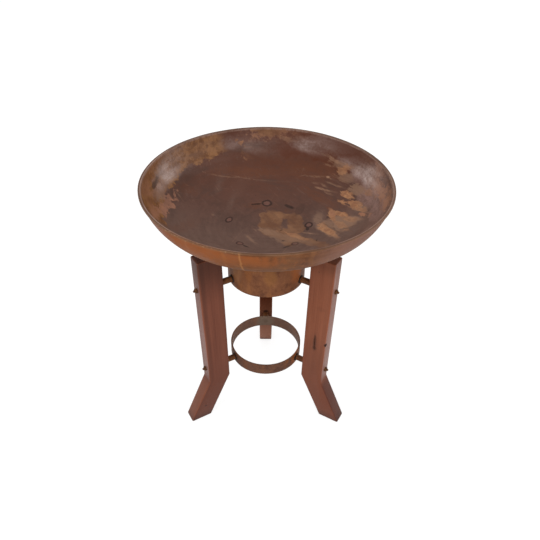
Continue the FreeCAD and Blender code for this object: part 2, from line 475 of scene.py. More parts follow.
# stains inside the bowl: x, y, half length, half width in mm, turn in degrees, strength
insideStains = {
    "rust": (
        (160, 116, 62, 17, -52, 0.6), (180, 62, 18, 7, -72, 0.8), (120, 232, 80, 24, -20, 0.45),
        (195, 212, 30, 12, -45, 0.4), (-34, 104, 26, 12, 10, 0.5), (58, 74, 16, 8, -30, 0.5),
        (-236, 116, 34, 18, 20, 0.4), (-222, -58, 46, 18, 62, 0.3), (-40, 240, 70, 16, 2, 0.65),
        (-92, 236, 60, 12, 14, 0.5), (150, -132, 30, 16, -60, 0.5)),
    "haze": (
        (146, 18, 36, 20, 78, 0.7), (234, -76, 40, 20, 20, 0.5), (-103, 116, 36, 7, 74, 0.4),
        (-45, -62, 24, 8, -52, 0.6), (-146, 176, 30, 8, 80, 0.4), (250, -20, 70, 20, -80, 0.4)),
    # the walls' pink rust tint, lightened as painted sheen
    "blush": (
        (288, 46, 64, 26, -76, 0.95), (298, -36, 64, 20, 84, 0.95), (262, 142, 40, 13, -52, 0.5),
        (-302, 40, 44, 14, 84, 0.7), (272, -112, 50, 20, 60, 0.35)),
    # pale painted sheen on the walls, standing for reflections of the lamps
    "bloom": (
        (-288, 122, 46, 13, 68, 1.0), (-268, 160, 22, 7, 52, 0.5), (-303, 64, 26, 9, 80, 0.5),
        (-105, 300, 44, 9, 17, 0.3), (126, 292, 42, 8, -21, 0.55), (-56, 306, 24, 8, 10, 0.45),
        (186, 264, 44, 7, -36, 0.28), (243, 196, 34, 7, -48, 0.4), (274, 146, 34, 11, -57, 0.7),
        (294, 110, 36, 13, -66, 1.0), (303, 70, 26, 8, -76, 0.6)),
    "ochre": (
        (14, 40, 42, 33, 90, 1.0), (-3, 58, 20, 17, 0, 1.0), (32, 63, 20, 15, 0, 0.95),
        (-6, 17, 18, 15, 0, 1.0), (-9, 12, 16, 13, 0, 1.0), (36, 10, 14, 12, 0, 0.9),
        (80, 22, 40, 24, 85, 0.9), (54, 54, 24, 14, -10, 0.9), (50, -36, 68, 27, -38, 0.8),
        (88, -14, 25, 20, 60, 0.85), (112, -88, 52, 17, -42, 0.75), (146, -120, 30, 12, -60, 0.5),
        (58, -88, 18, 14, -50, 0.7), (8, -24, 32, 20, -34, 0.6), (0, 331, 66, 6, 0, 0.95),
        (-76, 292, 14, 4, -20, 0.4)),
    "tan": (
        (8, -24, 36, 14, -30, 0.75), (30, -50, 50, 16, -48, 0.5), (64, -58, 50, 17, -40, 0.6),
        (-14, -10, 12, 6, 10, 0.7), (262, 100, 34, 12, -60, 0.8), (236, 165, 27, 14, -50, 0.6),
        (263, 16, 26, 11, -66, 0.95), (234, -20, 28, 17, -40, 0.95), (212, -16, 42, 24, -55, 0.9),
        (200, -34, 34, 16, -76, 0.9), (166, -42, 48, 16, -62, 0.8), (150, -14, 16, 11, 60, 0.8),
        (182, -78, 20, 10, -66, 0.6), (174, -12, 26, 13, -70, 0.75), (146, 22, 28, 12, 80, 0.5),
        (222, 208, 34, 5, -46, 0.5), (-296, 30, 30, 9, 84, 0.5)),
    "clay": (
        (74, -46, 40, 9, -37, 0.75), (185, 30, 23, 9, 97, 1.0), (212, 22, 27, 10, -48, 1.0),
        (204, -30, 34, 12, -75, 0.5), (228, -14, 22, 12, -42, 0.5), (190, 8, 14, 7, -60, 0.8),
        (165, -43, 44, 12, -62, 0.9), (153, -12, 12, 8, 70, 0.7), (180, -70, 20, 8, -66, 0.7),
        (234, 98, 27, 11, -62, 1.0), (222, 75, 21, 7, -60, 1.0), (250, 48, 28, 10, -62, 1.0),
        (261, 18, 22, 8, -66, 0.7), (263, -12, 14, 5, -58, 1.0), (231, 188, 17, 9, -40, 0.8),
        (-320, 90, 62, 5, 74, 0.5), (-80, 310, 8, 3, 5, 0.8), (-72, 279, 5, 4, 0, 0.4)),
    "pink": (
        (-262, 78, 9, 4, 90, 0.9), (-263, 92, 4, 3, 60, 0.8), (-266, 46, 11, 6, 62, 0.9),
        (-264, 22, 13, 8, 86, 0.9), (-281, 50, 8, 5, 70, 0.7), (-282, -18, 32, 12, 95, 0.85),
        (-277, 26, 26, 9, 80, 0.6), (-272, 8, 12, 6, 70, 0.8), (-291, -42, 12, 9, 90, 0.8),
        (-292, -76, 30, 9, 97, 0.65), (263, -12, 14, 5, -58, 0.8), (186, 34, 14, 6, 97, 0.5)),
    "glow": (
        (-8, 331, 52, 6, 2, 0.95), (46, 328, 22, 5, -8, 0.8), (317, 84, 30, 6, -76, 0.7),
        (-322, -10, 48, 9, 91, 0.7), (-300, -74, 38, 9, 106, 0.6), (312, 32, 56, 10, 98, 0.9),
        (317, -46, 48, 9, 83, 0.85), (290, 60, 16, 8, -60, 0.7), (298, 92, 18, 6, -70, 0.5)),
    "stroke": (
        (170, 151, 24, 3.2, -36, 0.8), (171, 168, 11, 3.5, -52, 0.6), (186, 193, 7, 4, -35, 0.9),
        (194, 184, 8, 2.5, -40, 0.5), (140, 212, 28, 2.6, -21, 0.4), (148, 184, 12, 4, -25, 0.3),
        (206, 188, 18, 3, -45, 0.3), (114, -41, 15, 3, -28, 0.8), (-47, -58, 22, 4, -55, 0.35),
        (-36, -76, 16, 3.5, -50, 0.35), (-120, 212, 60, 2.2, 8, 0.25), (-60, 216, 50, 2.2, -5, 0.3),
        (-155, 37, 6, 4, 0, 0.3), (182, 130, 14, 3, -45, 0.3), (62, 317, 22, 3, -12, 0.4),
        (214, 220, 26, 2.4, -46, 0.6), (208, 152, 26, 2.6, -44, 0.4), (190, 170, 12, 2.4, -44, 0.5),
        (190, 226, 20, 2, -36, 0.4)),
    "burnt": (
        (-29, 112, 15, 3.5, 12, 0.85), (65, 99, 17, 5.5, -38, 0.75), (73, 92, 7, 4, -38, 0.9),
        (114, -19, 9, 4.5, 80, 0.9), (-56, -105, 10, 4, -35, 0.85), (54, -106, 13, 4, 35, 0.7),
        (134, -88, 5, 2.4, 80, 0.8), (46, -70, 4, 4, 0, 0.6), (40, -14, 5, 3.5, 60, 0.5),
        (172, 20, 7, 3, 60, 0.4), (-313, 45, 36, 3, 82, 0.75), (97, 80, 26, 13, 70, 0.22),
        (181, -42, 30, 1.6, -62, 0.35)),
    "ring": (
        (0, 117, 16, 14.5, 0, 1.0), (-108, 27, 16, 9, 65, 1.0), (119, 1, 15, 12, 75, 1.0),
        (-73, -91, 11, 10, 0, 0.85), (76, -91, 12, 9, 30, 0.7)),
    "island": (
        (51, 16, 18, 9, 80, 0.85), (48, 44, 10, 4, 70, 0.3)),
}
# share of the ragged edge that each kind of stain has, and its softness in metres
stainEdges = {
    "rust": (1, 0.008), "haze": (1, 0.008), "blush": (1, 0.006), "bloom": (0.25, 0.008),
    "glow": (1, 0.004), "ochre": (0.6, 0.002), "island": (1, 0.003), "tan": (1, 0.003),
    "clay": (1, 0.0015), "pink": (1, 0.0015), "stroke": (0.35, 0.0012), "ring": (0.2, 0.0012),
    "burnt": (0.2, 0.0012),
}
insideScratches = ((22, 150), (145, 190), (84, 170))  # degrees in plan, scale


def stained(flat, edge, kind, output="Mask"):  # all stains of one kind, the strongest showing
    share, soft = stainEdges[kind]
    ragged = times(edge, share)
    shown = 0.0
    for x, y, length, width, turn, strength in insideStains[kind]:
        along = heading(turn) / mm
        mark = useGroup(stain, Vector=flat, Edge=ragged, Place=(x * mm, y * mm, 0),
                        Along=along / length, Across=Vector((-along.y, along.x, 0)) / width, Soft=soft)
        shown = strongest(shown, times(mark[output], strength))
    return shown


def sector(outward, degrees, reach, soft):  # 1 within reach of a direction, then fading out
    cosine = vectorCalc("DOT_PRODUCT", outward, heading(degrees))
    return spread(cosine, math.cos(math.radians(reach + soft)), math.cos(math.radians(reach)))


def bowlSpace(spot):  # axes of the place, distance from the bowl's axis, way outwards and place in plan
    flat = vectorCalc("MULTIPLY", spot, (1, 1, 0))
    return axesOf(spot), vectorCalc("LENGTH", flat), vectorCalc("NORMALIZE", flat), flat


def sweptNoise(outward, waves, rise, detail, roughness):  # marks that run round the bowl
    ring = vectorCalc("MULTIPLY", outward, (waves, waves, 0))
    return noise(vectorCalc("ADD", ring, vectorFrom(Z=rise)), 1, detail, roughness)


def bowlInsideMaterial():
    tones = insideTones
    spot = newMaterial("bowlInside", tones)
    axes, radius, outward, flat = bowlSpace(spot)
    cloud = noise(spot, 6, 5, 0.55)
    blotch = noise(spot, 24, 6, 0.6)
    ragged = noise(spot, 60, 6, 0.68)
    grain = noise(spot, 160, 3, 0.6)
    sweep = sweptNoise(outward, 2.4, times(radius, 90), 6, 0.65)
    flow = noise(alongLines(spot, -55, 0.12), 95, 5, 0.6)  # brushed streaks
    edge = plus(swing(ragged, 0.022), swing(flow, 0.032))  # metres

    def mark(kind, *masks):
        lay(kind, stained(flat, edge, kind), *masks)

    tone = plus(times(cloud, 0.4), times(blotch, 0.3), times(sweep, 0.3))
    build["color"] = mixed(spread(tone, 0.4, 0.6), *tones["floor"])
    turning = plus(cloud, sweep)
    lay("warm", spread(axes["Y"], 0, 0.28), spread(turning, 0.68, 1.1), 0.8)
    lay("ash", spread(axes["Y"], 0.1, -0.12), spread(turning, 0.75, 1.2, 0.5, 1), 0.7)
    mark("rust", spread(sweep, 0.3, 0.6, 0.5, 1))
    lay(tones["floor"][0], spread(ragged, 0.52, 0.66), 0.3)
    lay("ash", spread(flow, 0.54, 0.7), spread(blotch, 0.4, 0.6), 0.3)

    border = plus(radius, swing(blotch, 0.05), swing(ragged, 0.012))  # where the wall begins
    nearRim = spread(plus(radius, swing(sweep, 0.03)), 0.314, 0.324)
    nearRim = times(nearRim, minus(1, sector(outward, 358, 20, 8)))
    backWall = times(sector(outward, 52, 28, 14), spread(border, 0.29, 0.304))
    lay("band", strongest(nearRim, backWall), spread(sweep, 0.38, 0.58, 0.6, 0.95))
    wallTone = mixed(spread(plus(flow, ragged, blotch), 1.33, 1.74), *tones["wall"])
    leftEdge = minus(border, times(axes["Y"], 0.07))
    lay(wallTone, sector(outward, 158, 38, 8), spread(leftEdge, 0.285, 0.289))

    lay("ash", stained(flat, edge, "haze"), spread(flow, 0.35, 0.6, 0.5, 1))
    streaked = spread(plus(sweep, grain), 0.75, 1.15, 0.55, 1)
    # pink rust tint on the side walls, lightened as painted sheen
    mark("blush", streaked, spread(plus(ragged, flow), 0.85, 1.12, 0.6, 1.05))
    mark("glow", streaked)
    # painted sheen: pale streaks on the walls where they would reflect the lamps
    mark("bloom", streaked, spread(plus(sweep, ragged), 0.8, 1.1, 0.62, 1))
    ochre = times(stained(flat, edge, "ochre"), minus(1, stained(flat, edge, "island")),
                  spread(flow, 0.3, 0.6, 0.6, 1))
    lay(mixed(spread(blotch, 0.35, 0.65), *tones["ochre"]), ochre)
    brushed = spread(flow, 0.3, 0.55, 0.6, 1)
    mark("tan", brushed)
    clay = times(stained(flat, edge, "clay"), brushed)
    lay(mixed(spread(ragged, 0.35, 0.62), *tones["clay"]), clay)
    mark("pink", brushed)
    mark("stroke", spread(flow, 0.32, 0.55))

    lay("bare", stained(flat, edge, "ring"), 0.9)
    burnt = strongest(stained(flat, edge, "ring", "Ring"), stained(flat, edge, "burnt"))
    lay("burnt", burnt, 0.82)
    hairs = [useGroup(scratches, Vector=spot, Turn=math.radians(turn), Scale=scale)["Mask"]
             for turn, scale in insideScratches]
    lay("stroke", strongest(*hairs), 0.3)
    lay("pit", spread(grain, 0.64, 0.74), 0.35)
    wornEdge = times(spread(radius, 0.3308, 0.3318), spread(ragged, 0.35, 0.6, 0.3, 1))
    lay("edge", wornEdge, 0.7)
    rough = plus(spread(tone, 0.3, 0.7, 0.34, 0.46), times(strongest(ochre, clay), 0.12))
    height = plus(times(grain, 0.25), times(blotch, 0.6), times(sweep, 0.4))
    return dress(rough, height, depth=0.0005, specular=0.08)


outsideTones = {
    "dark": (98, 60, 38), "middle": (120, 78, 51), "light": (138, 93, 63),
    "orange": (152, 86, 46), "warm": (156, 96, 60), "drip": (180, 122, 74),
    "grey": (124, 94, 76), "mauve": (143, 105, 92), "slate": (88, 72, 69),
    "lip": (84, 60, 48), "worn": (164, 134, 120), "chip": (166, 130, 98),
}
# rust runs below the rim: degrees round the axis, half width in mm, length in mm, strength
outsideDrips = (
    (259.5, 3.4, 170, 0.6), (253, 7, 60, 0.15), (236, 4, 60, 0.15), (288, 9, 70, 0.15), (12, 4, 90, 0.4),
    (58, 3, 120, 0.5), (97, 5, 80, 0.3), (141, 3, 140, 0.5), (188, 5, 90, 0.3),
)


def bowlOutsideMaterial():
    tones = outsideTones
    spot = newMaterial("bowlOutside", tones)
    axes, radius, outward = bowlSpace(spot)[:3]
    skin = rustOf(spot, 15, tones["dark"], tones["middle"], tones["light"])
    runs = noise(stretched(spot, (1, 1, 0.08)), 60, 5, 0.6)
    patch = noise(spot, 9, 4, 0.6)
    chips = noise(spot, 190, 4, 0.6)
    sweep = sweptNoise(outward, 5, times(axes["Z"], 160), 5, 0.6)
    below = minus(rimHeight, axes["Z"])
    lay("dark", spread(sweep, 0.5, 0.64), 0.5)
    lay("light", spread(sweep, 0.48, 0.36), 0.5)
    lay("warm", sector(outward, 230, 16, 14), spread(patch, 0.3, 0.55, 0.4, 0.8),
        spread(below, 0.09, 0.03, 0.45, 1))
    band = times(spread(below, 0.005, 0.012), spread(below, 0.075, 0.02))
    where = plus(runs, patch, times(sector(outward, 246, 20, 14), 0.42))
    lay("orange", band, spread(where, 1.05, 1.5), 0.8)
    lay("drip", spread(runs, 0.54, 0.7), spread(below, 0.02, 0.06), 0.25)
    lay("grey", spread(patch, 0.5, 0.62), spread(sweep, 0.4, 0.6), 0.25)
    # painted sheen: pale mauve on the outside toward the left and right sides, where the wall is seen at a
    # grazing angle
    mauve = strongest(sector(outward, 198, 19, 13), sector(outward, 326, 24, 18))
    lay("mauve", mauve, spread(patch, 0.3, 0.55, 0.35, 1), 0.75)
    wobble = swing(noise(spot, 70, 4, 0.6), 0.008)
    for degrees, width, length, strength in outsideDrips:
        offset = calc("ABSOLUTE", plus(vectorCalc("DOT_PRODUCT", spot, heading(degrees + 90)), wobble))
        lay("drip", spread(offset, width * mm, width * mm / 3), sector(outward, degrees, 20, 5),
            spread(below, length * mm, length * mm / 3), strength)

    lip = spread(plus(below, times(patch, 0.002)), 0.0075, 0.0055)
    left = sector(outward, 186, 26, 24)
    lay("worn", lip, sector(outward, 354, 24, 24), 0.45)
    lay("slate", lip, left, 0.65)
    lay("lip", lip, sector(outward, 90, 70, 20), 0.75)
    lay("lip", spread(below, 0.0022, 0.001, 0, 0.7))
    shown = plus(spread(patch, 0.36, 0.6, 0.15, 0.45), times(left, 0.3))
    lay("worn", spread(below, 0.003, 0.0012), spread(radius, 0.3362, 0.3346), shown)
    lay("chip", spread(below, 0.0032, 0.0016), spread(radius, 0.3376, 0.3388), 0.45, shown)
    lay("chip", spread(below, 0.005, 0.003), spread(chips, 0.56, 0.64), sector(outward, 240, 14, 12), 0.45)
    return dress(skin["Rough"], skin["Height"], depth=0.0005, specular=0.04)


def makeBowl():
    piece = lathe("fireBowl", bowlOutline(), bowl["steps"])
    for material in (bowlOutsideMaterial(), bowlInsideMaterial()):
        piece.data.materials.append(material)
    selectParts(piece, "FACE", isBowlInside)
    piece.active_material_index = 1
    bpy.ops.object.material_slot_assign()
    deselectAll()
    unevenSurface(piece, "bowlWaves", bowl["waveSize"], bowl["waveDepth"], "Z")
    finishPiece(piece, ["fire_bowl"], [], bowl["smooth"])


makeBowl()
print("fire bowl done")


# support drum and lower hoop

drum = {"wall": 0.004, "edgeRound": 0.0006, "edgeSteps": 3, "steps": 160, "rows": 10, "waveSize": 0.09,
        "waveDepth": 0.0007, "topEdge": 0.001, "topInside": 0.002, "topDrop": 0.0006, "heatSize": 0.0062,
        "rustScale": 20, "tones": ((96, 57, 37), (122, 77, 51), (138, 90, 60)), "run": (150, 98, 60),
        "within": (122, 77, 51)}
hoop = {"wall": 0.005, "edgeRound": 0.001, "edgeSteps": 3, "steps": 160, "rows": 4, "waveSize": 0.08,
        "waveDepth": 0.0007, "heatSize": 0.009, "rustScale": 24,
        "tones": ((84, 54, 41), (108, 72, 54), (126, 86, 62)), "run": (140, 86, 50), "within": (124, 95, 81)}
heatTones = {"halo": (88, 60, 46), "burnt": (46, 32, 26)}
hollow = (0.1115, 0.1135)  # radii between which a wall's inside turns into its outside


def studPlaces(level):  # where the studs of one level meet the wall
    low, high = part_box("stud_" + level + "_back")
    middle = Vector((0, 0, (low.z + high.z) / 2))
    return [heading(degrees) * low.y + middle for degrees in legAngles.values()]


def ovalSpot(vector, place, size, edge=0.0):  # soft oval mark round one place
    offset = vectorCalc("DIVIDE", vectorCalc("SUBTRACT", vector, place), size)
    return spread(plus(vectorCalc("LENGTH", offset), edge), 1.25, 0.55)


def wallRustMaterial(name, level, band, patches):
    spot = newMaterial(name, {**heatTones, **band})
    skin = rustOf(spot, band["rustScale"], *band["tones"])
    edge = swing(noise(spot, 42, 5, 0.6), 0.9)
    runs = noise(stretched(spot, (1, 1, 0.3)), 34, 4, 0.6)
    lay("run", spread(runs, 0.52, 0.68), 0.6)
    radius = vectorCalc("LENGTH", vectorCalc("MULTIPLY", spot, (1, 1, 0)))
    lay("within", spread(radius, *hollow[::-1], 0, 0.55))
    for place, size, tone, strength in patches:
        lay(tone, ovalSpot(spot, place, size, edge), strength)
    marks = [useGroup(heatMark, Vector=spot, Edge=edge, Place=place, Size=band["heatSize"])
             for place in studPlaces(level)]
    outside = spread(radius, *hollow, 0.25, 1)
    lay("halo", strongest(*[mark["Halo"] for mark in marks]), outside, 0.3)
    lay("burnt", strongest(*[mark["Burnt"] for mark in marks]), outside, 0.8)
    return dress(skin["Rough"], skin["Height"], depth=0.0006, specular=0.12)


def rolledBand(name, node, band):  # ring of flat bar with rounded edges, as high as the node
    low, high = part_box(node)
    inside, edge = high.x - band["wall"], band["edgeRound"]
    corners = (((high.x - edge, low.z + edge), -math.pi / 2), ((high.x - edge, high.z - edge), 0),
               ((inside + edge, high.z - edge), math.pi / 2), ((inside + edge, low.z + edge), math.pi))
    points = []
    for centre, start in corners:
        points += arcPoints(centre, edge, start, start + math.pi / 2, band["edgeSteps"])
    outline = []
    for start, end in zip(points, points[1:] + points[:1]):
        count = band["rows"] if abs(end[1] - start[1]) > 4 * edge else 1  # only the upright sides have rows
        outline += [(start[0] + (end[0] - start[0]) * i / count, start[1] + (end[1] - start[1]) * i / count)
                    for i in range(count)]
    return lathe(name, outline + outline[:1], band["steps"])


def makeDrum():
    low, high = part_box("support_drum")
    piece = rolledBand("supportDrum", "support_drum", drum)
    topEdge, inside = high.z - drum["topEdge"], high.x - drum["topInside"]
    selectParts(piece, "VERT", lambda v: v.co.z > topEdge and math.hypot(v.co.x, v.co.y) < inside)
    bpy.ops.transform.translate(value=(0, 0, -drum["topDrop"]))  # the top edge follows the dish of the bowl
    deselectAll()
    unevenSurface(piece, "drumWaves", drum["waveSize"], drum["waveDepth"], "NORMAL")
    middle = (low.z + high.z) / 2
    patches = (((0.012, low.y, middle - 0.012), (0.02, 0.03, 0.035), (156, 104, 52), 0.3),
               ((-0.05, low.y * 0.85, middle), (0.012, 0.03, 0.04), (150, 92, 48), 0.4),
               # the two orange patches on the drum's right side are rust, lightened as painted light to lift
               # the shade there
               ((0.09, low.y * 0.62, middle - 0.01), (0.026, 0.03, 0.05), (166, 97, 54), 0.7),
               ((0.075, low.y * 0.75, middle + 0.02), (0.03, 0.03, 0.03), (166, 97, 54), 0.5),
               ((-0.085, low.y * 0.68, middle), (0.022, 0.03, 0.06), (150, 108, 78), 0.45))
    material = wallRustMaterial("drumRust", "upper", drum, patches)
    finishPiece(piece, ["support_drum"], [material])


def makeHoop():
    low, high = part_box("lower_hoop")
    piece = rolledBand("lowerHoop", "lower_hoop", hoop)
    unevenSurface(piece, "hoopWaves", hoop["waveSize"], hoop["waveDepth"], "Z")
    middle = (low.z + high.z) / 2
    patches = (((-0.012, high.y, middle), (0.055, 0.012, 0.03), (124, 108, 92), 0.65),
               ((high.x * 0.87, -high.x * 0.5, middle), (0.03, 0.03, 0.03), (160, 88, 36), 0.6),
               ((-high.x * 0.55, -high.x * 0.8, middle), (0.04, 0.03, 0.03), (106, 74, 61), 0.5))
    material = wallRustMaterial("hoopRust", "lower", hoop, patches)
    finishPiece(piece, ["lower_hoop"], [material])


makeDrum()
makeHoop()
print("drum and hoop done")


# timber legs

leg = {"kinkHeight": 0.158, "lean": 0.01527, "topWidth": 0.075, "kinkWidth": 0.0725, "footWidth": 0.0695,
       "edgeRound": 0.004, "edgeSteps": 5, "endEase": 0.004, "endSteps": 3, "innerKinkEase": 0.00185,
       "outerKinkEase": 0.00115, "kinkSteps": 4, "boreRadius": 0.0044, "seatRadius": 0.0078,
       "shoulderRadius": 0.0098, "seatBed": 0.0004, "overrun": 0.02, "boreSteps": 48, "smooth": 30}
crack = {"radius": 0.186, "height": 0.326, "length": 0.064, "width": 0.0030, "depth": 0.0032,
         "knotDrop": 0.022, "knotShift": 0.0005, "knotSize": (0.0034, 0.002, 0.005)}
nick = {"radius": 0.2226, "height": 0.331, "inset": 0.003, "size": 0.0048}
ovalSteps = {"segments": 24, "ring_count": 16}
# tones for marks and painted light on the legs: dark marks, a painted highlight on the rounded edges with
# some wear, painted shadow, painted sheen on the outer faces
markAndLightTones = {"worn": (156, 88, 54), "mark": (42, 28, 25), "shadow": (50, 27, 20),
             "weathered": (177, 151, 147)}
boards = {
    "front_left": {"dark": (104, 59, 45), "middle": (122, 72, 55), "light": (134, 82, 65),
                   "foot": (104, 59, 45), "kick": (128, 76, 56), "footTop": 0.36, "shaded": 0.46,
                   "shade": 0.65, "strip": 0.3, "outer": 0.36, "specular": 0.12},
    "front_right": {"dark": (120, 67, 46), "middle": (138, 82, 59), "light": (150, 92, 68),
                    "foot": (110, 60, 43), "kick": (84, 45, 35), "footTop": 0.36, "shaded": 0.58,
                    "shade": 0.3, "strip": 0.08, "outer": 0.55, "specular": 0.12},
    # the back leg's wood tones are darker than the front legs': painted shade under the bowl; its lighter
    # foot tone is painted light
    "back": {"dark": (58, 21, 7), "middle": (77, 32, 12), "light": (93, 45, 23),
             "foot": (174, 115, 89), "kick": (118, 68, 50), "footTop": 0.318, "shaded": 0.56,
             "shade": 0.6, "strip": 0.1, "outer": 0.2, "specular": 0.02},
}


def legInner(height):  # radius of a leg's inner face above its kick
    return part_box("leg_back")[0].y + leg["lean"] * (height - leg["kinkHeight"])


def near(value, goal):
    return abs(value - goal) < sameReach


def makeWoodGrain():  # soft streaks, growth rings, fibres and pores of an upright board
    group, given, out = newGroup("woodGrain", ("Vector", "Dark", "Middle", "Light"),
                                 ("Color", "Rough", "Height"))
    drift = noise(stretched(given["Vector"], (30, 30, 3)), 1, 3, 0.5)
    streak = noise(stretched(given["Vector"], (150, 150, 4)), 1, 4, 0.55)
    fibre = noise(stretched(given["Vector"], (620, 620, 12)), 1, 3, 0.6)
    pores = noise(stretched(given["Vector"], (950, 950, 36)), 1, 2, 0.5)
    axes = axesOf(given["Vector"])
    rings = plus(times(axes["X"], 1300), times(axes["Y"], 320), times(drift, 30))
    late = calc("MULTIPLY_ADD", calc("SINE", rings), 0.5, 0.5)
    tone = plus(times(drift, 0.46), times(streak, 0.3), times(fibre, 0.2), times(late, 0.04))
    color = mixed(spread(tone, 0.3, 0.54), given["Dark"], given["Middle"])
    color = mixed(spread(tone, 0.48, 0.74), color, given["Light"])
    pit = spread(pores, 0.64, 0.74)
    feed(out["Color"], mixed(times(pit, 0.25), color, given["Dark"]))
    feed(out["Rough"], spread(tone, 0.35, 0.7, 0.4, 0.5))
    feed(out["Height"], minus(times(fibre, 0.6), pit))
    return group


woodGrain = makeWoodGrain()


def timberMarks(place, half):  # place, size and strength of each dark mark on one board
    if place == "back":
        return (((0.150, 0.0, 0.2175), (0.012, 0.010, 0.006), 0.8),)
    if place == "front_left":
        return (((0.240, half, 0.053), (0.0045, 0.003, 0.0035), 0.6),
                ((0.228, 0.0, 0.440), (0.003, 0.03, 0.003), 0.35))
    return (((crack["radius"], -half, crack["height"]), (0.0056, 0.006, 0.036), 0.55),
            ((crack["radius"] + 0.001, -half, 0.303), (0.0075, 0.004, 0.008), 0.45),
            ((crack["radius"], -half, 0.27), (0.03, 0.02, 0.1), 0.16),
            ((0.196, -half, 0.468), (0.016, 0.004, 0.010), 0.1),
            ((nick["radius"], nick["inset"] - half, nick["height"]), (0.0065, 0.0065, 0.008), 0.95),
            ((0.181, -half, 0.600), (0.002, 0.003, 0.002), 0.6))


def timberMaterial(place):
    board = boards[place]
    spot = newMaterial("timber_" + place, {**markAndLightTones, **board})
    low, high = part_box("leg_back")
    half = (high.x - low.x) / 2
    kink, top, foot = leg["kinkHeight"], high.z, leg["footWidth"]
    turned = turnedRound(spot, -math.radians(legAngles[place]))
    axes = axesOf(turned)
    height = axes["Z"]
    rise = minus(height, kink)
    kick = (high.y - foot - low.y) / kink
    shift = strongest(times(rise, leg["lean"]), times(rise, -kick))
    across = minus(minus(axes["X"], shift), low.y)  # from the inner face outwards
    along = vectorFrom(X=across, Y=axes["Y"], Z=height)
    grain = useGroup(woodGrain, Vector=along, Dark=board["dark"], Middle=board["middle"],
                     Light=board["light"])
    build["color"] = grain["Color"]
    lay("dark", spread(across, 0.016, 0.002), 0.4)
    aside = calc("ABSOLUTE", axes["Y"])
    # lighter along the rounded long edges: painted highlight on the rounding, with some wear
    lay("worn", spread(aside, half - 0.0038, half - 0.002), spread(aside, half, half - 0.001), 0.35)
    lay("mark", spread(across, 0.053, 0.061), spread(across, 0.072, 0.067), board["strip"])
    # toward the floor: the front legs turn darker, painted shade low down; the back leg turns lighter,
    # painted light on its lower part
    lay("foot", spread(height, board["footTop"], 0.06), 0.8)
    width = spread(height, kink, top, leg["kinkWidth"], leg["topWidth"])
    depth = minus(width, across)  # from the outer face inwards
    # painted sheen: pale grey-mauve on each leg's outer face above the kick, where it is seen at a grazing
    # angle
    lay("weathered", spread(depth, 0.0016, 0.0004), spread(height, 0.15, 0.21),
        spread(grain["Rough"], 0.42, 0.48, 0.3, 1), board["outer"])
    # tone on the outer face of the kicked foot; the right leg's dark tone there is painted shade
    lay("kick", spread(across, foot - 0.0012, foot - 0.0004), spread(height, kink + 0.004, kink - 0.02),
        spread(grain["Rough"], 0.42, 0.48, 0.85, 0.55))
    lay("shadow", spread(height, board["shaded"], top - 0.01, 0, board["shade"]),
        spread(height, top - 0.0005, top - 0.004, 0.5, 1))
    # painted shade: darker over the lowest 35 mm, near the floor
    lay("mark", spread(height, 0.035, 0, 0, 0.4))
    ends = strongest(spread(height, top - 0.002, top - 0.0008), spread(height, 0.004, 0.001))
    lay("mark", ends, 0.3)
    for where, size, strength in timberMarks(place, half):
        lay("mark", ovalSpot(turned, where, size), strength)
    return dress(grain["Rough"], grain["Height"], depth=0.00015, specular=board["specular"])


def studLine(level):  # distances of a stud's foot, shoulder, nut seat and tip from the axis, and its height
    low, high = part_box("stud_" + level + "_back")
    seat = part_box("nut_" + level + "_back")[0].y
    height = (low.z + high.z) / 2
    return low.y, legInner(height) + leg["seatBed"], seat, high.y, height


def boltCutter(level):  # bore with the bed of the stud's shoulder and the spot face of the nut
    foot, shoulder, seat, tip, height = studLine(level)
    outline = [(0, foot), (leg["shoulderRadius"], foot), (leg["shoulderRadius"], shoulder),
               (leg["boreRadius"], shoulder), (leg["boreRadius"], seat), (leg["seatRadius"], seat),
               (leg["seatRadius"], tip + leg["overrun"]), (0, tip + leg["overrun"])]
    return placed(lathe("boltCutter", outline, leg["boreSteps"]), 0, height, True)


def ovalCutter(place, size):
    deselectAll()
    bpy.ops.mesh.primitive_uv_sphere_add(radius=1, location=place, **ovalSteps)
    cutter = bpy.context.object
    cutter.scale = size
    bpy.ops.object.transform_apply()
    return cutter


def kickedBoard(name):  # made along +X, then turned to its place
    low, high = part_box("leg_back")
    thick = high.x - low.x
    kink = leg["kinkHeight"]
    top = high.z
    inner = legInner(kink)
    corners = [(legInner(top), top), (legInner(top) + leg["topWidth"], top),
               (inner + leg["kinkWidth"], kink), (high.y, 0), (high.y - leg["footWidth"], 0), (inner, kink)]
    piece = traceOutline(name, [(r, -thick / 2, z) for r, z in corners])
    bpy.ops.mesh.edge_face_add()
    bpy.ops.mesh.extrude_region_move(TRANSFORM_OT_translate={"value": (0, thick, 0)})
    closeEdit()
    for radius, ease in ((inner, leg["innerKinkEase"]), (inner + leg["kinkWidth"], leg["outerKinkEase"])):
        selectParts(piece, "EDGE", lambda e: all(near(co.z, kink) and near(co.x, radius)
                                                 for co in edgeEnds(piece, e)))
        bpy.ops.mesh.bevel(offset=ease, segments=leg["kinkSteps"], affect="EDGES")

    def isLong(edge):
        a, b = edgeEnds(piece, edge)
        level = near(a.z, b.z) and (near(a.z, 0) or near(a.z, top))
        return near(a.y, b.y) and near(abs(a.y), thick / 2) and not level

    selectParts(piece, "EDGE", isLong)
    bpy.ops.mesh.bevel(offset=leg["edgeRound"], segments=leg["edgeSteps"], affect="EDGES")
    for level in (0, top):
        selectParts(piece, "EDGE", lambda e: all(near(co.z, level) for co in edgeEnds(piece, e)))
        bpy.ops.mesh.bevel(offset=leg["endEase"], segments=leg["endSteps"], affect="EDGES")
    deselectAll()
    return piece


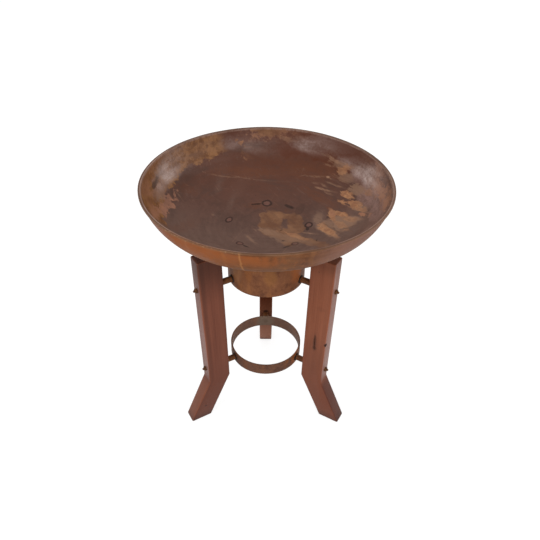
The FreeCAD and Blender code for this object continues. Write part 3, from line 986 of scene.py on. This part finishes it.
def makeLeg(place):
    piece = kickedBoard("leg_" + place + ".board")
    for level in levels:
        cutAway(piece, boltCutter(level))
    if place == "front_right":
        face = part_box("leg_back")[0].x
        slit = (crack["width"] / 2, crack["depth"], crack["length"] / 2)
        cutAway(piece, ovalCutter((crack["radius"], face, crack["height"]), slit))
        knot = (crack["radius"] + crack["knotShift"], face, crack["height"] - crack["knotDrop"])
        cutAway(piece, ovalCutter(knot, crack["knotSize"]))
        dent = (nick["radius"], face + nick["inset"], nick["height"])
        cutAway(piece, ovalCutter(dent, (nick["size"],) * 3))
    placed(piece, legAngles[place])
    finishPiece(piece, ["leg_" + place], [timberMaterial(place)], leg["smooth"])


for place in legAngles:
    makeLeg(place)
print("legs done")


# studs, nuts and welds

stud = {"radius": 0.0095, "threadRadius": 0.004, "rootRadius": 0.00335, "pitch": 0.00125, "ease": 0.0006,
        "tipEase": 0.0008, "steps": 40, "ridgeSteps": 24, "ridgeSink": 0.0001, "footSink": 0.0003}
nut = {"flats": 0.013, "turn": 30, "chamferSlope": 0.55, "chamferStart": 0.96, "coneWide": 1.02,
       "coneSteps": 48, "coneSlack": 0.0001, "boreSteps": 32, "boreSlack": 0.001, "edge": 0.00025,
       "edgeSteps": 2, "edgeAngle": 40}
weld = {"leg": 0.003, "sink": 0.001, "inset": 0.0004, "bulge": 0.0009, "steps": 56, "ripple": 0.00035,
        "smooth": 60}
stitch = {"angles": (1, 58, 91, 166, 232, 307), "length": 0.030, "leg": 0.006, "gap": 0.0002,
          "inset": 0.0004, "bulge": 0.0009, "steps": 40, "ripple": 0.0004}
beadParts = (0.2, 0.4, 0.6, 0.8)  # places across a bead's swollen face


def darkSteelMaterial(name, tones, scale, depth):
    skin = rustOf(newMaterial(name, {}), scale, *tones)
    return dress(skin["Rough"], skin["Height"], depth, specular=0.15)


def copiesRound(master, start, end, height, material):  # one copy in place of each leg's node
    for place, degrees in legAngles.items():
        piece = placed(duplicate(master, start + place + end), degrees, height, True)
        finishPiece(piece, [start + place], [material])
    bpy.data.objects.remove(master)


def joinedRound(master, name, angles, height=0.0, lying=False):  # one piece of several copies
    copies = [placed(duplicate(master, name), degrees, height, lying) for degrees in angles]
    bpy.data.objects.remove(master)
    return joined(copies, name)


def threadRidge(start, end):  # one helical ridge round the stud's end
    pitch = stud["pitch"]
    root = stud["rootRadius"] - stud["ridgeSink"]
    ridge = traceOutline("threadRidge", [(root, 0, start), (stud["threadRadius"], 0, start + pitch / 2),
                                         (root, 0, start + pitch), (root, 0, start)])
    setMode("OBJECT")
    turns = int((end - start) / pitch) - 1
    useModifier(ridge, "SCREW", axis="Z", screw_offset=pitch, iterations=turns, steps=stud["ridgeSteps"],
                render_steps=stud["ridgeSteps"], use_merge_vertices=False)
    setMode("EDIT")
    mergePoints()
    bpy.ops.mesh.fill_holes(sides=0)
    closeEdit()
    return ridge


def makeStuds(level, material):
    foot, shoulder, seat, tip, height = studLine(level)
    foot -= stud["footSink"]
    radius, thread, root = stud["radius"], stud["threadRadius"], stud["rootRadius"]
    ease, tipEase = stud["ease"], stud["tipEase"]
    outline = [(0, foot), (radius, foot), (radius, shoulder - ease), (radius - ease, shoulder),
               (thread, shoulder), (thread, seat), (root, seat), (root, tip - tipEase),
               (root - tipEase, tip), (0, tip)]
    bar = joined([lathe("stud", outline, stud["steps"]), threadRidge(seat, tip - tipEase)], "stud")
    copiesRound(bar, "stud_" + level + "_", ".bar", height, material)


def hexNut(seat, thick):  # chamfered hexagon with its bore, made along +Z
    corner = nut["flats"] / math.sqrt(3)
    deselectAll()
    bpy.ops.mesh.primitive_cylinder_add(vertices=6, radius=corner, depth=thick)
    piece = bpy.context.object
    piece.location = (0, 0, seat + thick / 2)
    piece.rotation_euler = (0, 0, math.radians(nut["turn"]))
    bpy.ops.object.transform_apply()
    flat = nut["flats"] / 2 * nut["chamferStart"]
    wide = corner * nut["coneWide"]
    drop = (wide - flat) * nut["chamferSlope"]
    low, high = seat - nut["coneSlack"], seat + thick + nut["coneSlack"]
    cone = [(0, low), (flat, low), (wide, seat + drop), (wide, seat + thick - drop),
            (flat, high), (0, high)]
    cutAway(piece, lathe("chamferCone", cone, nut["coneSteps"]), "INTERSECT")
    thread = stud["threadRadius"]
    low, high = seat - nut["boreSlack"], seat + thick + nut["boreSlack"]
    bore = [(0, low), (thread, low), (thread, high), (0, high)]
    cutAway(piece, lathe("bore", bore, nut["boreSteps"]))
    useModifier(piece, "BEVEL", width=nut["edge"], segments=nut["edgeSteps"], limit_method="ANGLE",
                angle_limit=math.radians(nut["edgeAngle"]))
    return piece


def makeNuts(level, material):
    low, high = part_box("nut_" + level + "_back")
    master = hexNut(low.y, high.y - low.y)
    copiesRound(master, "nut_" + level + "_", ".hex", (low.z + high.z) / 2, material)


def rippleColumns(piece, columns, amount, turnOf):  # every other column stands proud
    selectParts(piece, "VERT", lambda v: round(turnOf(v.co) * columns) % 2 == 0)
    bpy.ops.transform.shrink_fatten(value=amount)
    deselectAll()


def makeStudWelds(level, material):
    line = studLine(level)
    wall, height = line[0], line[-1]
    radius, size = stud["radius"], weld["leg"]
    inner, sunk = radius - weld["inset"], wall - weld["sink"]
    outline = [(inner, sunk), (radius + size, sunk), (radius + size, wall)]
    for part in beadParts:
        swell = weld["bulge"] * math.sin(math.pi * part)
        outline.append((radius + size * (1 - part) + swell, wall + size * part + swell))
    outline += [(inner, wall + size), outline[0]]
    ring = lathe("weldRing", outline, weld["steps"])
    rippleColumns(ring, weld["steps"] / 2, weld["ripple"], lambda co: math.atan2(co.y, co.x) / math.pi + 1)
    piece = joinedRound(ring, "studWelds_" + level, legAngles.values(), height, True)
    finishPiece(piece, ["stud_welds_" + level], [material], weld["smooth"])


def makeStitchWelds(material):
    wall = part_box("support_drum")[1].x
    under = innerHeight(wall) - bowl["wall"] - stitch["gap"]
    size, inner = stitch["leg"], wall - stitch["inset"]
    outline = [(inner, under), (inner, under - size)]
    for part in (0,) + beadParts:
        swell = stitch["bulge"] * math.sin(math.pi * part)
        outline.append((wall + size * part + swell, under - size * (1 - part) - swell))
    outline += [(wall + size, under + size * wall / bowl["crownRadius"]), outline[0]]
    sweep = stitch["length"] / wall
    bead = lathe("stitchBead", outline, stitch["steps"], sweep)
    rippleColumns(bead, stitch["steps"], stitch["ripple"], lambda co: abs(math.atan2(co.y, co.x)) / sweep)
    half = math.degrees(math.atan2(bead.bound_box[6][1] + bead.bound_box[0][1], 2 * wall))
    piece = joinedRound(bead, "stitchWelds", [degrees - half for degrees in stitch["angles"]])
    finishPiece(piece, ["bowl_stitch_welds"], [material], weld["smooth"])


steelTones = {
    "bar": ((70, 41, 25), (104, 62, 34), (132, 84, 46)),
    "nut": ((58, 35, 22), (92, 58, 32), (134, 90, 48)),
    # the weld tones are near black: dark weld scale, with painted shade at the joints round the stud roots
    "weld": ((30, 20, 15), (48, 32, 23), (78, 52, 34)),
}
barRust = darkSteelMaterial("barRust", steelTones["bar"], scale=60, depth=0.0004)
nutRust = darkSteelMaterial("nutRust", steelTones["nut"], scale=90, depth=0.0003)
weldScaleAndShade = darkSteelMaterial("weldScaleAndShade", steelTones["weld"], scale=80, depth=0.0004)
for level in levels:
    makeStuds(level, barRust)
    makeNuts(level, nutRust)
    makeStudWelds(level, weldScaleAndShade)
makeStitchWelds(weldScaleAndShade)
print("studs, nuts and welds done")


# floor, light and camera

stage = {"floorSize": 24.0, "bounce": 0.45, "glow": 0.82, "shadowed": 0.3, "ambient": 0.7,
         "lampAim": (0, 0, 0.5)}
lamps = {  # place, size in metres, watts
    "keyLamp": ((-1.9, -2.05, 2.7), 1.3, 24), "fillLamp": ((1.5, -2.45, 2.7), 1.3, 12),
    "topLamp": ((0.2, 0.8, 3.2), 2.2, 12), "lowLamp": ((0.6, -3.2, 1.0), 2.4, 30),
}
eye = {"place": (-0.00244, -1.31204, 1.54868), "tilt": 38.109, "turn": 0.587, "roll": 0.841, "lens": 36.921,
       "sensor": 36}


def seenOrReflected():  # 1 for rays that show the background
    ray = put("ShaderNodeLightPath", {}).outputs
    return strongest(ray["Is Camera Ray"], ray["Is Glossy Ray"], ray["Is Transmission Ray"])


def makeFloor():
    deselectAll()
    bpy.ops.mesh.primitive_plane_add(size=stage["floorSize"])
    floor = bpy.context.object
    floor.name = "floor"
    material = bpy.data.materials.new("paleFloor")
    material.use_nodes = True
    build["tree"] = material.node_tree
    nodes = material.node_tree.nodes
    nodes.remove(nodes["Principled BSDF"])
    plain = put("ShaderNodeBsdfDiffuse", {"Color": (stage["bounce"],) * 3 + (1,)})
    shade = put("ShaderNodeBsdfDiffuse", {"Color": (stage["shadowed"],) * 3 + (1,)})
    glow = put("ShaderNodeEmission", {"Strength": stage["glow"]})
    bright = put("ShaderNodeAddShader", {0: glow.outputs[0], 1: shade.outputs[0]})
    pick = put("ShaderNodeMixShader", {0: seenOrReflected(), 1: plain.outputs[0], 2: bright.outputs[0]})
    feed(nodes["Material Output"].inputs["Surface"], pick.outputs[0])
    floor.data.materials.append(material)


def makeWorld():
    world = bpy.data.worlds.new("studio")
    bpy.context.scene.world = world
    world.use_nodes = True
    build["tree"] = world.node_tree
    background = world.node_tree.nodes["Background"].inputs
    feed(background["Strength"], spread(seenOrReflected(), 0, 1, stage["ambient"], 1))
    feed(background["Color"], (1, 1, 1, 1))


def makeLamps():
    for name, (place, size, watts) in lamps.items():
        deselectAll()
        aim = (Vector(stage["lampAim"]) - Vector(place)).to_track_quat("-Z", "Y").to_euler()
        bpy.ops.object.light_add(type="AREA", location=place, rotation=aim)
        lamp = bpy.context.object
        lamp.name = name
        lamp.data.size = size
        lamp.data.energy = watts
        lamp.visible_camera = False


def makeCamera():
    aim = Euler((math.radians(90 - eye["tilt"]), 0, -math.radians(eye["turn"]))).to_matrix()
    aim = aim @ Matrix.Rotation(math.radians(eye["roll"]), 3, "Z")
    bpy.ops.object.camera_add(location=eye["place"], rotation=aim.to_euler())
    camera = bpy.context.object
    camera.data.lens = eye["lens"]
    camera.data.sensor_width = eye["sensor"]
    bpy.context.scene.camera = camera


makeFloor()
makeWorld()
makeLamps()
makeCamera()
print("stage ready")
